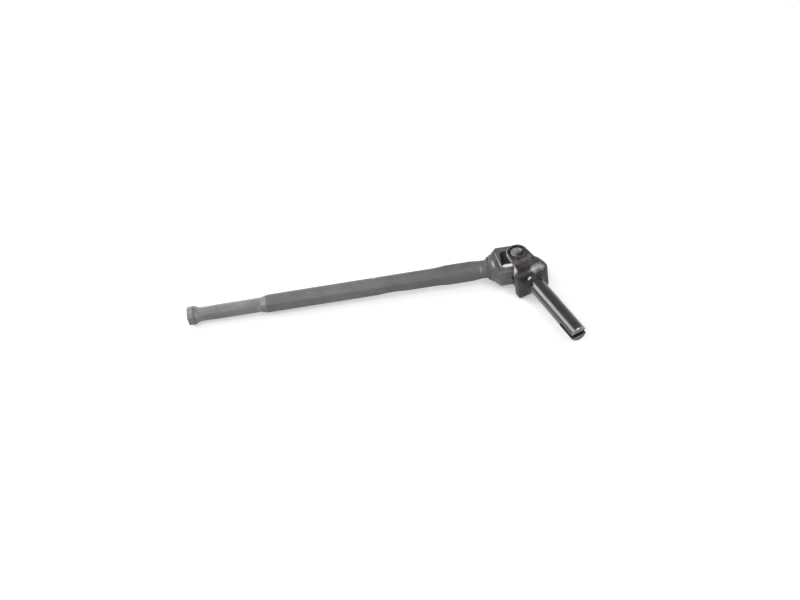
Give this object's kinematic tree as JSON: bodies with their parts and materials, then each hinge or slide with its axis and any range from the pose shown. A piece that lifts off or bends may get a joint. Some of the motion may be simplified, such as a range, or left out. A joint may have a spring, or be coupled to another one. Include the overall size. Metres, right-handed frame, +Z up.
{
  "type": "steering tube",
  "caption": "Telescoping hexagonal steering column tube with a universal joint and a short round stub shaft that ends in a sawn slot.",
  "frame": {"origin": "centre of the bounding box in plan, on the surface that the part lies on", "axes": "+Z up as the part lies, +X level along the column tube towards the joint, -Y to the side that the stub shaft points to"},
  "size_m": [0.443, 0.141, 0.0414],
  "materials": {
    "dark_tube_steel": "matt dark phosphated steel",
    "grey_tube_steel": "worn grey phosphated steel, drawn lengthwise",
    "moulded_plug": "natural moulded plastic",
    "forged_steel": "forged and turned steel, matt grey",
    "black_forging": "black forged steel, semi-gloss",
    "black_bar": "black turned bar, glossy",
    "bearing_steel": "ground bearing steel",
    "seal_rubber": "black rubber"
  },
  "bodies": {
    "column": {"outer_tube": "dark_tube_steel", "inner_tube": "grey_tube_steel", "shear_plug_upper": "moulded_plug", "shear_plug_lower": "moulded_plug", "tube_yoke": "forged_steel", "bearing_cup_front": "bearing_steel", "bearing_cup_rear": "bearing_steel", "needles_front": "bearing_steel", "needles_rear": "bearing_steel", "seal_front": "seal_rubber", "seal_rear": "seal_rubber"},
    "cross": {"cross": "bearing_steel"},
    "stub": {"stub_yoke": "black_forging", "stub_shaft": "black_bar", "bearing_cup_upper": "bearing_steel", "bearing_cup_lower": "bearing_steel", "needles_upper": "bearing_steel", "needles_lower": "bearing_steel", "seal_upper": "seal_rubber", "seal_lower": "seal_rubber"}
  },
  "joints": [
    {"name": "cross_tilt", "type": "hinge", "parent": "column", "child": "cross", "pos_m": [0.16214, 0.05006, 0.0207], "axis": [0, 1, 0], "range_deg": [-21.4, 18.6]},
    {"name": "stub_swing", "type": "hinge", "parent": "cross", "child": "stub", "pos_m": [0.16214, 0.05006, 0.0207], "axis": [0, 0, 1], "range_deg": [-3.7, 136.3]}
  ]
}
